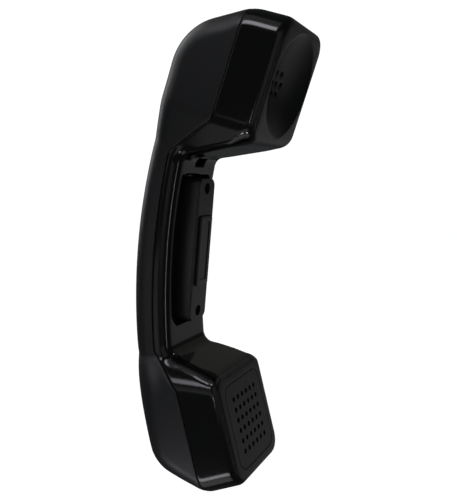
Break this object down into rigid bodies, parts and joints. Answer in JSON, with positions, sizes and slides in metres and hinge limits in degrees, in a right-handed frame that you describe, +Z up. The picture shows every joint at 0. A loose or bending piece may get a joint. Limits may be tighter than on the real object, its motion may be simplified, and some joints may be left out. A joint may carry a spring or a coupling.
{
  "type": "telephone handset",
  "caption": "Square-ended telephone handset in two shells, with a dished ear face, a perforated mouth grille and a push-to-talk bar in the handle.",
  "frame": {"origin": "middle of the mouth of the hanging slot, in the handle's inner face under the ear head", "axes": "+Z up the handset from the mouth head to the ear head, +X towards the side with the ear and mouth faces, +Y across the width"},
  "size_m": [0.0777, 0.0514, 0.2102],
  "materials": {
    "rear_shell": "satin black moulded plastic",
    "front_shell": "glossier black moulded plastic",
    "grille": "finely textured black plastic",
    "ptt_plastic": "black moulded plastic",
    "ptt_bar": "satin black moulded plastic",
    "inner_plastic": "black moulded plastic",
    "switch_plastic": "dark grey plastic",
    "cloth": "fine black acoustic cloth",
    "foam": "soft black foam rubber",
    "aluminium": "bright drawn aluminium",
    "magnet": "ground ferrous metal",
    "spring_metal": "plain spring steel",
    "brass": "plain brass",
    "screws": "blackened steel",
    "board": "green laminate",
    "weight": "bare cast metal",
    "lead_insulation": "flexible wire insulation"
  },
  "bodies": {
    "handset": {"rear_shell": "rear_shell", "front_shell": "front_shell", "mic_grille": "grille", "mic_screen": "cloth", "mic_gasket": "foam", "mic_cup": "inner_plastic", "mic_capsule": "aluminium", "mic_contacts": "spring_metal", "mic_retainer": "inner_plastic", "mic_screws": "screws", "receiver_screen": "cloth", "receiver_gasket": "foam", "receiver_faceplate": "aluminium", "receiver_diaphragm": "aluminium", "receiver_magnet": "magnet", "receiver_cup": "inner_plastic", "receiver_terminals": "brass", "receiver_retainer": "inner_plastic", "receiver_screws": "screws", "ptt_housing": "ptt_plastic", "bar_springs": "spring_metal", "switch_board": "board", "switch_body": "switch_plastic", "switch_pins": "brass", "handle_screws": "screws", "handle_weight": "weight", "weight_pad": "foam", "cord_jack": "inner_plastic", "jack_contacts": "brass", "receiver_leads": "lead_insulation", "mic_leads": "lead_insulation", "switch_leads": "lead_insulation"},
    "push_bar": {"ptt_bar": "ptt_bar"},
    "plunger": {"switch_plunger": "switch_plastic"}
  },
  "joints": [
    {"name": "bar_slide", "type": "slide", "parent": "handset", "child": "push_bar", "axis": [-0.996, 0, 0.0898], "range_m": [0, 0.0015], "stiffness_N_per_m": 1000, "springref_m": -0.002, "deforming": ["bar_springs"]},
    {"name": "plunger_slide", "type": "slide", "parent": "handset", "child": "plunger", "axis": [-0.996, 0, 0.0898], "range_m": [0, 0.0015]}
  ],
  "couplings": [
    {"joint": "plunger_slide", "follows": "bar_slide", "ratio": 1}
  ]
}
